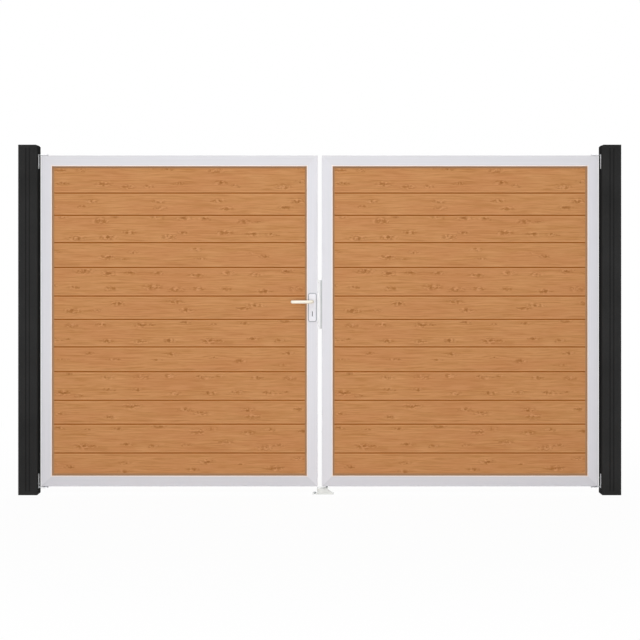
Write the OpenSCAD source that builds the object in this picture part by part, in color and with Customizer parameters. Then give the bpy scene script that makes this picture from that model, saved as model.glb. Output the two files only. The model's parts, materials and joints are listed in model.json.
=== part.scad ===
// Double driveway gate: two timber-look leaves in white metal frames, hung between two dark posts.
// The origin is the centre of the left post's foot. X runs along the gate, Y to its back, Z up.

/* [Posts] */
// Side of the square post
post_size = 104; // [80:1:150]
// Height of the post's top above the top of the leaves
post_rise = 57; // [40:1:120]
// Wall of the post's tube
post_wall = 3; // [2:0.5:5]
// Radius of the post's upright edges
post_edge_r = 5; // [2:0.5:8]
// Width of each groove in a face of the post
post_groove_w = 6; // [2:0.5:8]
// Depth of each groove
post_groove_depth = 1.5; // [0.5:0.1:1.5]
// Distance between the two grooves of a face, centre to centre
post_groove_pitch = 20; // [12:1:30]
// Height of the cap's band on top of the tube
cap_band = 18; // [10:1:40]
// Size of the bevel along the cap's top edge, beside the leaf
cap_bevel = 8; // [1:0.5:12]
// Height of the foot's band below the tube
foot_band = 22; // [8:1:40]
// Length of the plug that a cap or foot puts into the tube
plug_length = 25; // [10:1:60]
// Gap between that plug and the tube's wall
plug_play = 0.2; // [0.1:0.1:0.5]

/* [Leaves] */
// Width of one leaf
leaf_w = 1503; // [900:1:1800]
// Height of one leaf
leaf_h = 1800; // [1200:50:2200]
// Height of a leaf's underside above the ground
ground_gap = 43; // [43:1:80]
// Gap between the two closed leaves
meeting_gap = 24; // [20:1:40]
// Gap between a leaf and the face of its post
hinge_gap = 16; // [16:1:40]

/* [Leaf frame] */
// Width of a frame bar, seen from the front
bar_w = 60; // [60:1:90]
// Depth of a frame bar, front to back
bar_d = 40; // [38:1:60]
// Wall of the frame bars
bar_wall = 2.5; // [2:0.1:2.5]
// Radius of a frame bar's long edges
bar_edge_r = 1.5; // [0.5:0.1:2]
// Depth of the channel along a bar's inner edge
channel_depth = 17; // [16:0.5:20]
// Thickness of the infill panel
infill_t = 21; // [16:0.5:22]
// Gap between the infill and each side of the channel
infill_play = 0.5; // [0.2:0.1:1]
// How far the infill reaches into the channel at its sides and top
infill_grip = 15; // [10:0.5:15.5]

/* [Hinges] */
// Height of a hinge bracket
bracket_h = 78; // [60:1:120]
// Thickness of the bracket's leg on the post
bracket_leg_t = 5; // [4:0.5:8]
// Depth of that leg, from the front of the bracket
bracket_leg_d = 8; // [6:1:30]
// Thickness of the bracket's arm
bracket_arm_t = 5; // [4:0.5:6]
// Gap between a lower arm and the leaf
lower_arm_gap = 5; // [5:0.5:8]
// Gap between an upper arm and the leaf
upper_arm_gap = 1.5; // [1:0.5:8]
// Distance of the hinge pin from the leaf's outer edge
pivot_inset = 24; // [22:0.5:26]
// How far the arm reaches past the hinge pin
arm_nose = 11; // [10:0.5:14]
// Diameter of the hinge pin
pin_d = 12; // [8:0.5:14]
// Length of the hinge pin beyond the arm
pin_length = 33; // [20:1:34]
// Running clearance around the hinge pin
pin_play = 0.08; // [0.03:0.01:0.1]
// Wall of the pivot bush around the pin
bush_wall = 3; // [2:0.5:3]
// Width of the bush's thrust collar beyond its body
collar_w = 3; // [2:0.5:4]
// Depth of the bush inside the frame
bush_depth = 33; // [25:1:34]
// Running gap between the thrust collar and the arm
thrust_gap = 0.3; // [0.2:0.1:0.5]

/* [Lock] */
// Height of the handle's spindle above the ground
lock_z = 1048; // [900:1:1150]
// Distance of the spindle from the leaf's meeting edge
backset = 28; // [28:0.5:30]
// Distance of the keyhole's middle below the spindle
keyhole_drop = 67; // [60:1:80]
// Width of the keyhole
keyhole_w = 4; // [3:0.1:4]
// Height of the keyhole
keyhole_h = 28; // [15:1:30]
// Width of an escutcheon plate
escutcheon_w = 38; // [30:1:40]
// Height of an escutcheon plate above the spindle
escutcheon_above = 43; // [30:1:60]
// Height of an escutcheon plate below the spindle
escutcheon_below = 106; // [100:1:130]
// Thickness of an escutcheon plate
escutcheon_t = 8; // [6:0.5:12]
// Radius of an escutcheon's corners
escutcheon_r = 9; // [1:0.5:12]
// Thickness of the lock case
case_t = 16; // [14:0.5:20]
// Width of the lock's face plate
face_plate_w = 22; // [20:0.5:24]
// How far the face plate runs past the case, above and below
face_plate_end = 25; // [15:1:40]
// How far the latch bolt stands out of the face plate while it is drawn back
latch_proud = 0.8; // [0:0.1:1]

/* [Lever handles] */
// Diameter of a lever
lever_d = 18; // [14:0.5:22]
// Reach of a lever from its spindle to its free end
lever_reach = 117; // [90:1:140]
// Distance of a lever's grip from the escutcheon, on its axis
lever_stand = 44; // [36:1:60]
// Bend radius of a lever, on its axis
lever_bend = 16; // [12:0.5:20]
// Running clearance around a lever's neck
neck_play = 0.08; // [0.03:0.01:0.1]
// Side of the square spindle
spindle_side = 8; // [7:0.5:9]
// How far the spindle reaches past the face of each escutcheon
spindle_reach = 14; // [8:1:16]

/* [Keeper] */
// Clearance between the keeper and the closed left leaf
keeper_gap = 6; // [6:0.5:8]
// Depth of the keeper, front to back
keeper_d = 30; // [24:1:36]
// Height of the keeper above the spindle
keeper_above = 119; // [80:1:160]
// Height of the keeper below the spindle
keeper_below = 149; // [100:1:180]
// Radius of the keeper's long outer edges
keeper_edge_r = 3; // [1:0.5:6]
// Width of the rebate along the keeper's faces, beside the stile
keeper_rebate_w = 8; // [2:0.5:10]
// Depth of that rebate
keeper_rebate_d = 4; // [1:0.5:5]
// Depth of the keeper's pocket for the bolts
pocket_depth = 12; // [12:0.5:13]
// Clearance around the bolts in that pocket
pocket_play = 3; // [2:0.5:4]

/* [Drop bolt] */
// Distance of the drop bolt from the right leaf's meeting edge
drop_bolt_inset = 28; // [22:0.5:29]
// Diameter of the drop bolt
drop_bolt_d = 8; // [8:0.5:12]
// How far the raised drop bolt shows below the leaf
drop_bolt_show = 6.5; // [4:0.5:7]
// Travel of the drop bolt
drop_bolt_travel = 30; // [20:1:32]
// Running clearance around the drop bolt
drop_bolt_play = 0.08; // [0.03:0.01:0.1]
// Wall of the bush that guides the drop bolt through the bottom rail
guide_wall = 3; // [2:0.5:4]
// Thickness of that bush's collar under the rail
guide_collar_t = 2; // [1:0.5:3]
// Depth of that bush inside the frame
guide_depth = 20; // [10:1:30]
// Height of the drop bolt's plate, at its middle, above the ground
slide_plate_z = 385; // [300:5:600]
// Width of that plate
slide_plate_w = 20; // [18:0.5:24]
// Height of each guide boss behind the plate
boss_h = 20; // [12:1:30]
// Width of the finger slide on the drop bolt
slide_w = 7; // [6:0.5:7.5]
// Height of that finger slide
slide_h = 30; // [20:1:40]

/* [Ground stop] */
// Height of the ground stop
stop_h = 34; // [25:1:34]
// Depth of the ground stop, front to back
stop_d = 60; // [50:1:80]
// Reach of its block to the left of the gate's centre line
stop_left = 14; // [8:1:20]
// Reach of its block's top to the right of the centre line
stop_right = 45; // [40:1:60]
// Radius of its flange's corners
stop_edge_r = 8; // [4:1:10]
// Size of the cut-off corners on the block's left side
stop_corner = 7; // [2:0.5:10]
// Size of the bevel along the front and back edges of its top
stop_bevel = 2; // [1:0.5:8]
// Run of the ramp on the right, down to the ground
stop_ramp = 32; // [26:1:40]
// Height of that ramp where it meets the block
stop_ramp_h = 20; // [12:1:24]
// Thickness of the flange on the ground
stop_flange_t = 4; // [3:0.5:8]
// Reach of the flange to the left of the block
stop_flange = 26; // [26:1:40]
// Width of the slot that takes the drop bolt
stop_slot_w = 13; // [13:0.5:18]
// Reach of that slot to the right of the bolt's centre line
stop_slot_right = 14; // [10:1:20]
// Diameter of the anchor holes
anchor_hole_d = 7; // [5:0.5:8]
// Distance of the anchor holes from the casting's left and right ends
anchor_inset = 13; // [10:1:14]
// Distance between the front and the back anchor holes
anchor_spread = 40; // [38:1:44]
// Diameter of the recess over an anchor hole in the ramp
anchor_recess_d = 14; // [12:0.5:16]

/* [Hidden] */
$fn = 48;

// How far a cut runs past the face it cuts
over = 1;
// Play of a part that is pressed or let into another
seat_play = 0.05;

post_height = ground_gap + leaf_h + post_rise;
left_leaf_x = post_size / 2 + hinge_gap;
meeting_edge_x = left_leaf_x + leaf_w;
gate_centre_x = meeting_edge_x + meeting_gap / 2;
leaf_top = ground_gap + leaf_h;

chamber_w = bar_w - channel_depth - 2 * bar_wall;
channel_w = infill_t + 2 * infill_play;
lip_t = (bar_d - channel_w) / 2;

pivot_x = left_leaf_x + pivot_inset;
bush_d = pin_d + 2 * (pin_play + bush_wall);

// Lock parts sit behind one another on the spindle's axis
lock_x = meeting_edge_x - backset;
keyhole_z = lock_z - keyhole_drop;
// Gap between the lock case and the far wall of its chamber
case_play = 0.5;
case_depth = chamber_w - case_play;
// Reach of the case above the spindle and below the keyhole's middle
case_above = 35;
case_below = 33;
case_bottom = keyhole_drop + case_below;
// Radius of the case's hole for the turning spindle
spindle_hole_r = 7;
// Thickness and height of the two bolts, and how far the dead bolt lies below the spindle
latch_size = [12, 18];
dead_bolt_size = [10, 26];
dead_bolt_drop = 31;
// Play of a bolt in its channel
bolt_play = 0.3;
// Gap beyond each end of the spindle in a lever's socket
socket_end = 0.5;
// Distance from the spindle's axis to the inner ends of the bolts
bolt_start = 10;

keeper_t = meeting_gap - keeper_gap;
pocket_top = latch_size[1] / 2 + pocket_play;
pocket_bottom = dead_bolt_drop + dead_bolt_size[1] / 2 + pocket_play;

drop_bolt_x = meeting_edge_x + meeting_gap + drop_bolt_inset;
drop_bolt_bottom = ground_gap - drop_bolt_show;
// Clearance of the finger slide in its slot, at the sides and beyond its travel
slide_play = 0.3;
slot_end = 5;
slot_h = slide_h + drop_bolt_travel + 2 * slot_end;
slide_plate_h = slot_h + 2 * (boss_h + slot_end);
// The raised slide stands at the top of its slot
slide_top = slide_plate_z + slot_h / 2 - slot_end;
drop_bolt_top = slide_plate_z + slide_plate_h / 2;

// ---- shared shapes ----

// A rectangle with round corners, centred on the origin
module round_rect(width, height, r) {
    square([width - 2 * r, height], center = true);
    square([width, height - 2 * r], center = true);
    for (x = [-1, 1], y = [-1, 1])
        translate([x * (width / 2 - r), y * (height / 2 - r)]) circle(r);
}

// The mirror image about the upright plane between the leaves
module on_the_right() {
    translate([2 * gate_centre_x, 0, 0]) mirror([1, 0, 0]) children();
}

// The mirror image about a leaf's mid height
module at_the_top() {
    translate([0, 0, ground_gap + leaf_top]) mirror([0, 0, 1]) children();
}

// The mirror image at the back of the leaf
module at_the_back() {
    mirror([0, 1, 0]) children();
}

// A flat outline drawn as width and height, stood up and made as deep as asked, centred on Y
module upright(depth) {
    rotate([90, 0, 0]) linear_extrude(depth, center = true) children();
}

// ---- posts ----

module post_tube() {
    tube_length = post_height - foot_band - cap_band;
    translate([0, 0, foot_band]) linear_extrude(tube_length) difference() {
        round_rect(post_size, post_size, post_edge_r);
        square(post_size - 2 * post_wall, center = true);
        for (face = [0:90:270], side = [-1, 1]) rotate(face)
            translate([side * post_groove_pitch / 2 - post_groove_w / 2, post_size / 2 - post_groove_depth])
                square([post_groove_w, post_groove_depth + over]);
    }
}

// A solid band as wide as the post, with a hollow plug that goes up into the tube
module post_end(band) {
    plug = post_size - 2 * (post_wall + plug_play);
    linear_extrude(band) round_rect(post_size, post_size, post_edge_r);
    translate([0, 0, band]) linear_extrude(plug_length) difference() {
        square(plug, center = true);
        square(plug - 2 * post_wall, center = true);
    }
}

module post_foot() {
    post_end(foot_band);
}

// The left post's cap, bevelled along its top edge on the leaf's side
module post_cap() {
    face_x = post_size / 2;
    difference() {
        translate([0, 0, post_height]) mirror([0, 0, 1]) post_end(cap_band);
        upright(post_size + 2 * over) polygon([
            [face_x - cap_bevel, post_height], [face_x, post_height - cap_bevel],
            [face_x + over, post_height - cap_bevel], [face_x + over, post_height + over],
            [face_x - cap_bevel, post_height + over]
        ]);
    }
}

module left_post() { color("#2b2b2c") post_tube(); }
module left_post_cap() { color("#303031") post_cap(); }
module left_post_foot() { color("#303031") post_foot(); }
module right_post() { color("#2b2b2c") on_the_right() post_tube(); }
module right_post_cap() { color("#303031") on_the_right() post_cap(); }
module right_post_foot() { color("#303031") on_the_right() post_foot(); }

// ---- hinges ----

// The lower left bracket: a leg up the post, an arm under the leaf and a pin that points up
module hinge_bracket(arm_gap) {
    arm_top = ground_gap - arm_gap;
    arm_bottom = arm_top - bracket_arm_t;
    translate([post_size / 2, -bar_d / 2, arm_bottom]) cube([bracket_leg_t, bracket_leg_d, bracket_h]);
    translate([0, 0, arm_bottom]) linear_extrude(bracket_arm_t) arm_outline();
    translate([pivot_x, 0, arm_top - over]) cylinder(d = pin_d, h = pin_length + over);
}

// The arm from above, with round corners at its nose
module arm_outline() {
    start = post_size / 2;
    nose = pivot_x + arm_nose;
    translate([start, -bar_d / 2]) square([nose - arm_nose - start, bar_d]);
    translate([start, -bar_d / 2 + arm_nose]) square([nose - start, bar_d - 2 * arm_nose]);
    for (side = [-1, 1])
        translate([nose - arm_nose, side * (bar_d / 2 - arm_nose)]) circle(arm_nose);
}

// The bush that turns on the lower left pin, with its thrust collar between arm and leaf
module pivot_bush(arm_gap) {
    arm_top = ground_gap - arm_gap;
    translate([pivot_x, 0, 0]) difference() {
        union() {
            translate([0, 0, arm_top + thrust_gap])
                cylinder(d = bush_d + 2 * collar_w, h = arm_gap - thrust_gap);
            translate([0, 0, ground_gap - over]) cylinder(d = bush_d, h = bush_depth + over);
        }
        translate([0, 0, arm_top]) cylinder(r = pin_d / 2 + pin_play, h = arm_gap + bush_depth + over);
    }
}

// The hole for that bush in a rail's outer wall
module bush_hole() {
    translate([pivot_x, 0, ground_gap - over])
        cylinder(r = bush_d / 2 + seat_play, h = bar_wall + 2 * over);
}

module left_lower_hinge() { color("#a9abad") hinge_bracket(lower_arm_gap); }
module left_upper_hinge() { color("#a9abad") at_the_top() hinge_bracket(upper_arm_gap); }
module right_lower_hinge() { color("#a9abad") on_the_right() hinge_bracket(lower_arm_gap); }
module right_upper_hinge() { color("#a9abad") on_the_right() at_the_top() hinge_bracket(upper_arm_gap); }
module left_lower_bush() { color("#d0d1d3") pivot_bush(lower_arm_gap); }
module left_upper_bush() { color("#d0d1d3") at_the_top() pivot_bush(upper_arm_gap); }
module right_lower_bush() { color("#d0d1d3") on_the_right() pivot_bush(lower_arm_gap); }
module right_upper_bush() { color("#d0d1d3") on_the_right() at_the_top() pivot_bush(upper_arm_gap); }

// ---- leaf frames ----

// Section of a frame bar: outer edge at the bottom, channel for the infill at the top
module bar_section() {
    difference() {
        translate([0, bar_w / 2]) round_rect(bar_d, bar_w, bar_edge_r);
        translate([0, bar_wall + chamber_w / 2]) square([bar_d - 2 * bar_wall, chamber_w], center = true);
        translate([-channel_w / 2, bar_w - channel_depth]) square([channel_w, channel_depth + over]);
        for (side = [-1, 1])
            translate([side * (bar_d - lip_t) / 2, bar_w - (channel_depth + bar_wall) / 2])
                square([lip_t - 2 * bar_wall, channel_depth - bar_wall], center = true);
    }
}

// A bar along X with its outer edge down and both ends cut to a mitre
module frame_bar(length) {
    intersection() {
        rotate([90, 0, 90]) linear_extrude(length) bar_section();
        upright(bar_d + 2 * over) polygon([
            [-over, -over], [length + over, -over],
            [length - bar_w - over, bar_w + over], [bar_w + over, bar_w + over]
        ]);
    }
}

module bottom_rail() {
    difference() {
        translate([left_leaf_x, 0, ground_gap]) frame_bar(leaf_w);
        bush_hole();
    }
}

module outer_stile() {
    translate([left_leaf_x, 0, ground_gap]) mirror([1, 0, 0]) rotate([0, -90, 0]) frame_bar(leaf_h);
}

module inner_stile() {
    translate([meeting_edge_x, 0, ground_gap]) rotate([0, -90, 0]) frame_bar(leaf_h);
}

// The panel stands on the floor of the bottom rail's channel
module infill() {
    side = bar_w - infill_grip;
    bottom = ground_gap + bar_w - channel_depth;
    translate([left_leaf_x + side, -infill_t / 2, bottom])
        cube([leaf_w - 2 * side, infill_t, leaf_top - side - bottom]);
}

module left_hinge_stile() { color("#d9dadd") outer_stile(); }
module left_top_rail() { color("#e2e1e6") at_the_top() bottom_rail(); }
module left_bottom_rail() { color("#e2e1e6") bottom_rail(); }
module left_infill() { color("#be8858") infill(); }
module right_hinge_stile() { color("#d9dadd") on_the_right() outer_stile(); }
module right_top_rail() { color("#e2e1e6") on_the_right() at_the_top() bottom_rail(); }
module right_infill() { color("#be8858") on_the_right() infill(); }

module right_bottom_rail() {
    color("#e2e1e6") difference() {
        on_the_right() bottom_rail();
        translate([drop_bolt_x, 0, ground_gap - over])
            cylinder(r = guide_r() + seat_play, h = bar_wall + 2 * over);
    }
}

// The meeting stile of the left leaf, cut for the lock's face plate, spindle and keyhole
module lock_stile() {
    color("#e2e1e6") difference() {
        inner_stile();
        face_plate(bar_wall + over, seat_play);
        translate([lock_x, 0, lock_z]) upright(bar_d + 2 * over) circle(lever_d / 2 + seat_play);
        translate([lock_x, 0, keyhole_z]) upright(bar_d + 2 * over) keyhole();
    }
}

// The meeting stile of the right leaf, cut for the drop bolt's plate
module meeting_stile() {
    color("#e2e1e6") difference() {
        on_the_right() inner_stile();
        slide_plate(bar_wall + over, seat_play);
    }
}

// ---- lock ----

// The face plate lies flush in the stile's edge wall. The stile's cut is the same shape, a little larger
module face_plate(thickness, play) {
    height = case_above + case_bottom + 2 * face_plate_end;
    bottom = lock_z - case_bottom - face_plate_end;
    translate([meeting_edge_x - bar_wall, -face_plate_w / 2 - play, bottom - play])
        cube([thickness, face_plate_w + 2 * play, height + 2 * play]);
}

// Outline of the keyhole, a slot with round ends, centred on the origin
module keyhole() {
    r = keyhole_w / 2;
    square([keyhole_w, keyhole_h - keyhole_w], center = true);
    for (side = [-1, 1]) translate([0, side * (keyhole_h / 2 - r)]) circle(r);
}

module lock_case() {
    wall_x = meeting_edge_x - bar_wall;
    color("#b9bbbd") difference() {
        union() {
            face_plate(bar_wall, 0);
            translate([wall_x - case_depth, -case_t / 2, lock_z - case_bottom])
                cube([case_depth + seat_play, case_t, case_bottom + case_above]);
        }
        translate([lock_x, 0, lock_z]) upright(case_t + 2 * over) circle(spindle_hole_r);
        translate([lock_x, 0, keyhole_z]) upright(case_t + 2 * over) keyhole();
        sliding_bolt(latch_size, 0, bolt_play, over);
        sliding_bolt(dead_bolt_size, dead_bolt_drop, bolt_play, over);
    }
}

// A bolt of the given thickness and height in its channel. Its outer end stands proud of the face plate
module sliding_bolt(size, drop, play, proud) {
    start = lock_x + bolt_start - play;
    translate([start, -size[0] / 2 - play, lock_z - drop - size[1] / 2 - play])
        cube([meeting_edge_x + proud - start, size[0] + 2 * play, size[1] + 2 * play]);
}

module latch_bolt() { color("#9fa1a3") sliding_bolt(latch_size, 0, 0, latch_proud); }
module dead_bolt() { color("#9fa1a3") sliding_bolt(dead_bolt_size, dead_bolt_drop, 0, 0); }

module escutcheon() {
    height = escutcheon_above + escutcheon_below;
    translate([lock_x, -(bar_d + escutcheon_t) / 2, lock_z]) difference() {
        translate([0, 0, escutcheon_above - height / 2])
            upright(escutcheon_t) round_rect(escutcheon_w, height, escutcheon_r);
        upright(escutcheon_t + 2 * over) circle(lever_d / 2 + neck_play);
        translate([0, 0, -keyhole_drop]) upright(escutcheon_t + 2 * over) keyhole();
    }
}

module front_escutcheon() { color("#ececec") escutcheon(); }
module rear_escutcheon() { color("#ececec") at_the_back() escutcheon(); }

// ---- lever handles ----

// The neck turns in the escutcheon, the bend leads into the grip, and the grip's free end is round
module lever() {
    r = lever_d / 2;
    inner_y = -bar_d / 2 - over;
    grip_y = -bar_d / 2 - escutcheon_t - lever_stand;
    translate([lock_x, 0, lock_z]) difference() {
        union() {
            translate([0, grip_y + lever_bend, 0]) rotate([-90, 0, 0])
                cylinder(r = r, h = inner_y - grip_y - lever_bend);
            translate([-lever_bend, grip_y + lever_bend, 0]) rotate([0, 0, -90])
                rotate_extrude(angle = 90) translate([lever_bend, 0]) circle(r);
            translate([-lever_bend, grip_y, 0]) rotate([0, -90, 0]) rotate_extrude() grip_outline();
        }
        socket = spindle_side + 2 * seat_play;
        translate([-socket / 2, -spindle_end() - socket_end, -socket / 2])
            cube([socket, spindle_end(), socket]);
    }
}

// Half section of the grip, turned about its own axis
module grip_outline() {
    r = lever_d / 2;
    straight = lever_reach - lever_bend - r;
    square([r, straight]);
    intersection() {
        translate([0, straight]) circle(r);
        translate([0, straight]) square(r);
    }
}

function spindle_end() = bar_d / 2 + escutcheon_t + spindle_reach;

module front_lever() { color("#f4f4f4") lever(); }
module rear_lever() { color("#f4f4f4") at_the_back() lever(); }

module lever_spindle() {
    color("#8d8f91") translate([lock_x, 0, lock_z])
        cube([spindle_side, 2 * spindle_end(), spindle_side], center = true);
}

// ---- keeper ----

// A bar on the right leaf's edge with one pocket that takes both bolts of the lock
module lock_keeper() {
    keeper_h = keeper_above + keeper_below;
    face_x = meeting_edge_x + keeper_gap;
    color("#e8e8ea") translate([face_x, 0, lock_z]) difference() {
        translate([0, 0, -keeper_below]) linear_extrude(keeper_h) keeper_section();
        translate([-over, -latch_size[0] / 2 - pocket_play, -pocket_bottom])
            cube([pocket_depth + over, latch_size[0] + 2 * pocket_play, pocket_bottom + pocket_top]);
    }
}

// Section of the keeper: rebated beside the stile, round at its outer edges
module keeper_section() {
    r = keeper_edge_r;
    back_d = keeper_d - 2 * keeper_rebate_d;
    translate([r, -keeper_d / 2]) square([keeper_t - keeper_rebate_w - r, keeper_d]);
    translate([0, -keeper_d / 2 + r]) square([keeper_t - keeper_rebate_w, keeper_d - 2 * r]);
    translate([r, -back_d / 2]) square([keeper_t - r, back_d]);
    for (side = [-1, 1]) translate([r, side * (keeper_d / 2 - r)]) circle(r);
}

// ---- drop bolt ----

function guide_r() = drop_bolt_d / 2 + drop_bolt_play + guide_wall;
function drop_bolt_hole_r() = drop_bolt_d / 2 + drop_bolt_play;

// The bush in the bottom rail, with a collar under the rail
module drop_bolt_guide() {
    color("#202122") translate([drop_bolt_x, 0, 0]) difference() {
        union() {
            translate([0, 0, ground_gap - guide_collar_t])
                cylinder(r = guide_r() + guide_wall / 2, h = guide_collar_t);
            translate([0, 0, ground_gap - over]) cylinder(r = guide_r(), h = guide_depth + over);
        }
        translate([0, 0, ground_gap - guide_collar_t - over])
            cylinder(r = drop_bolt_hole_r(), h = guide_depth + guide_collar_t + 2 * over);
    }
}

// The plate lies flush in the stile's edge wall. The stile's cut is the same shape, a little larger
module slide_plate(thickness, play) {
    inner_x = meeting_edge_x + meeting_gap + bar_wall;
    bottom = slide_plate_z - slide_plate_h / 2;
    translate([inner_x - thickness, -slide_plate_w / 2 - play, bottom - play])
        cube([thickness, slide_plate_w + 2 * play, slide_plate_h + 2 * play]);
}

// The plate with its slot, and a boss above and below the slot that guides the bolt
module drop_bolt_plate() {
    edge_x = meeting_edge_x + meeting_gap;
    boss_depth = drop_bolt_inset + guide_r();
    color("#b9bbbd") difference() {
        union() {
            slide_plate(bar_wall, 0);
            for (side = [-1, 1])
                translate([edge_x + bar_wall / 2, -slide_plate_w / 2 + over,
                           slide_plate_z + side * (slide_plate_h - boss_h) / 2 - boss_h / 2])
                    cube([boss_depth - bar_wall / 2, slide_plate_w - 2 * over, boss_h]);
        }
        translate([edge_x - over, -slide_w / 2 - slide_play, slide_plate_z - slot_h / 2])
            cube([bar_wall + 2 * over, slide_w + 2 * slide_play, slot_h]);
        translate([drop_bolt_x, 0, slide_plate_z - slide_plate_h / 2 - over])
            cylinder(r = drop_bolt_hole_r(), h = slide_plate_h + 2 * over);
    }
}

// The rod and the finger slide that shows, flush, in the plate's slot
module drop_bolt() {
    edge_x = meeting_edge_x + meeting_gap;
    color("#2c2d2e") {
        translate([drop_bolt_x, 0, drop_bolt_bottom])
            cylinder(d = drop_bolt_d, h = drop_bolt_top - drop_bolt_bottom);
        translate([edge_x, -slide_w / 2, slide_top - slide_h])
            cube([drop_bolt_x - edge_x, slide_w, slide_h]);
    }
}

// ---- ground stop ----

// Block and ramp seen from the front, X measured from the gate's centre line
module stop_side() {
    polygon([
        [-stop_left, 0], [-stop_left, stop_h], [stop_right, stop_h],
        [stop_right, stop_ramp_h], [stop_end_x(), 0]
    ]);
}

// The block and ramp seen from one end, with bevelled top edges
module stop_end_view() {
    half = stop_d / 2;
    polygon([
        [-half, 0], [-half, stop_h - stop_bevel], [-half + stop_bevel, stop_h],
        [half - stop_bevel, stop_h], [half, stop_h - stop_bevel], [half, 0]
    ]);
}

// A plan with round corners from the given X to the ramp's foot
module stop_plan(start_x) {
    translate([(start_x + stop_end_x()) / 2, 0]) round_rect(stop_end_x() - start_x, stop_d, stop_edge_r);
}

// The plan of the block and ramp, with its left corners cut off
module stop_block_plan() {
    half = stop_d / 2;
    intersection() {
        stop_plan(-stop_left - stop_edge_r);
        polygon([
            [-stop_left, half - stop_corner], [-stop_left + stop_corner, half], [stop_end_x(), half],
            [stop_end_x(), -half], [-stop_left + stop_corner, -half], [-stop_left, -half + stop_corner]
        ]);
    }
}

function stop_start_x() = -stop_left - stop_flange;
function stop_end_x() = stop_right + stop_ramp;

module ground_stop() {
    left_anchor_x = stop_start_x() + anchor_inset;
    right_anchor_x = stop_end_x() - anchor_inset;
    slot_x = drop_bolt_x - gate_centre_x - stop_slot_w / 2;
    color("#d9ddd7") translate([gate_centre_x, 0, 0]) difference() {
        union() {
            linear_extrude(stop_flange_t) stop_plan(stop_start_x());
            intersection() {
                upright(stop_d) stop_side();
                linear_extrude(stop_h) stop_block_plan();
                translate([-stop_left, 0, 0]) rotate([90, 0, 90])
                    linear_extrude(stop_left + stop_end_x()) stop_end_view();
            }
        }
        translate([slot_x, -stop_slot_w / 2, -over])
            cube([stop_slot_w / 2 + stop_slot_right, stop_slot_w, stop_h + 2 * over]);
        for (y = [-anchor_spread / 2, anchor_spread / 2]) {
            for (x = [left_anchor_x, right_anchor_x])
                translate([x, y, -over]) cylinder(d = anchor_hole_d, h = stop_h + over);
            translate([right_anchor_x, y, stop_flange_t]) cylinder(d = anchor_recess_d, h = stop_h);
        }
    }
}

// ---- one line for each node ----

left_post();
left_post_cap();
left_post_foot();
right_post();
right_post_cap();
right_post_foot();
left_upper_hinge();
left_lower_hinge();
right_upper_hinge();
right_lower_hinge();
ground_stop();
left_hinge_stile();
lock_stile();
left_top_rail();
left_bottom_rail();
left_infill();
left_upper_bush();
left_lower_bush();
lock_case();
latch_bolt();
dead_bolt();
front_escutcheon();
rear_escutcheon();
front_lever();
rear_lever();
lever_spindle();
right_hinge_stile();
meeting_stile();
right_top_rail();
right_bottom_rail();
right_infill();
right_upper_bush();
right_lower_bush();
lock_keeper();
drop_bolt_plate();
drop_bolt_guide();
drop_bolt();
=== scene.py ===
"""A double gate: two silver-white leaf frames filled with larch boards, hung between two black posts."""

import json
import math
import random

import bmesh
import bpy
from mathutils import Matrix, Vector


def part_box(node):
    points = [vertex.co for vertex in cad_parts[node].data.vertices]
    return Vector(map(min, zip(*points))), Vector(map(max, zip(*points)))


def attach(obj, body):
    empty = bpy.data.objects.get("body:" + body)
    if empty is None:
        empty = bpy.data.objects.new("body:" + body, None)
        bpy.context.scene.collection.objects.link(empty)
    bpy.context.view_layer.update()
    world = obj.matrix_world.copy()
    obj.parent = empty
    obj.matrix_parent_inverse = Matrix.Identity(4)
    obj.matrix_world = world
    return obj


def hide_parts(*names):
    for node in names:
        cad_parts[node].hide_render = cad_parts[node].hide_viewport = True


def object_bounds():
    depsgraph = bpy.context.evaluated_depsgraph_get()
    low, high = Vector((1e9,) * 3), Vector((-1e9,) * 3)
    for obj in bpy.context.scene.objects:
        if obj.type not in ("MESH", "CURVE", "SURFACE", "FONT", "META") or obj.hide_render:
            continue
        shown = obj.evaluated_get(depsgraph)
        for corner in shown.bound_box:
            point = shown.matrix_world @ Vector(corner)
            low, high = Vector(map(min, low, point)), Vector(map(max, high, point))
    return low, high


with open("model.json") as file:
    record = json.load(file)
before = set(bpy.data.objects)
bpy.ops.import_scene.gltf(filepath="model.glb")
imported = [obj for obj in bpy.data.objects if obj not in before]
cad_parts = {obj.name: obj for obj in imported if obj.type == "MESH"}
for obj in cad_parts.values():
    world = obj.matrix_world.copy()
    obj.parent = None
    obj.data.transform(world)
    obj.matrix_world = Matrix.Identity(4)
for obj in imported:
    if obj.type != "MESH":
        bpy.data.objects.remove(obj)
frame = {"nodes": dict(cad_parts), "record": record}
cad_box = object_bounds()

MM = 0.001  # the scene is in metres
gate_middle = (cad_box[0] + cad_box[1]) / 2


# ---------------------------------------------------------------- materials

def linear(hex_colour):
    """An sRGB hex colour as linear red, green, blue and alpha."""
    parts = [int(hex_colour[i : i + 2], 16) / 255 for i in (0, 2, 4)]
    return (*(c / 12.92 if c <= 0.04045 else ((c + 0.055) / 1.055) ** 2.4 for c in parts), 1.0)


def feed(node, inputs):
    """Fills a node's sockets, each with a value, or by a link from a socket or a node's first output."""
    for key, value in inputs.items():
        if isinstance(value, bpy.types.Node):
            value = next(out for out in value.outputs if out.enabled)
        if isinstance(value, bpy.types.NodeSocket):
            node.id_data.links.new(value, node.inputs[key])
        else:
            node.inputs[key].default_value = value


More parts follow.
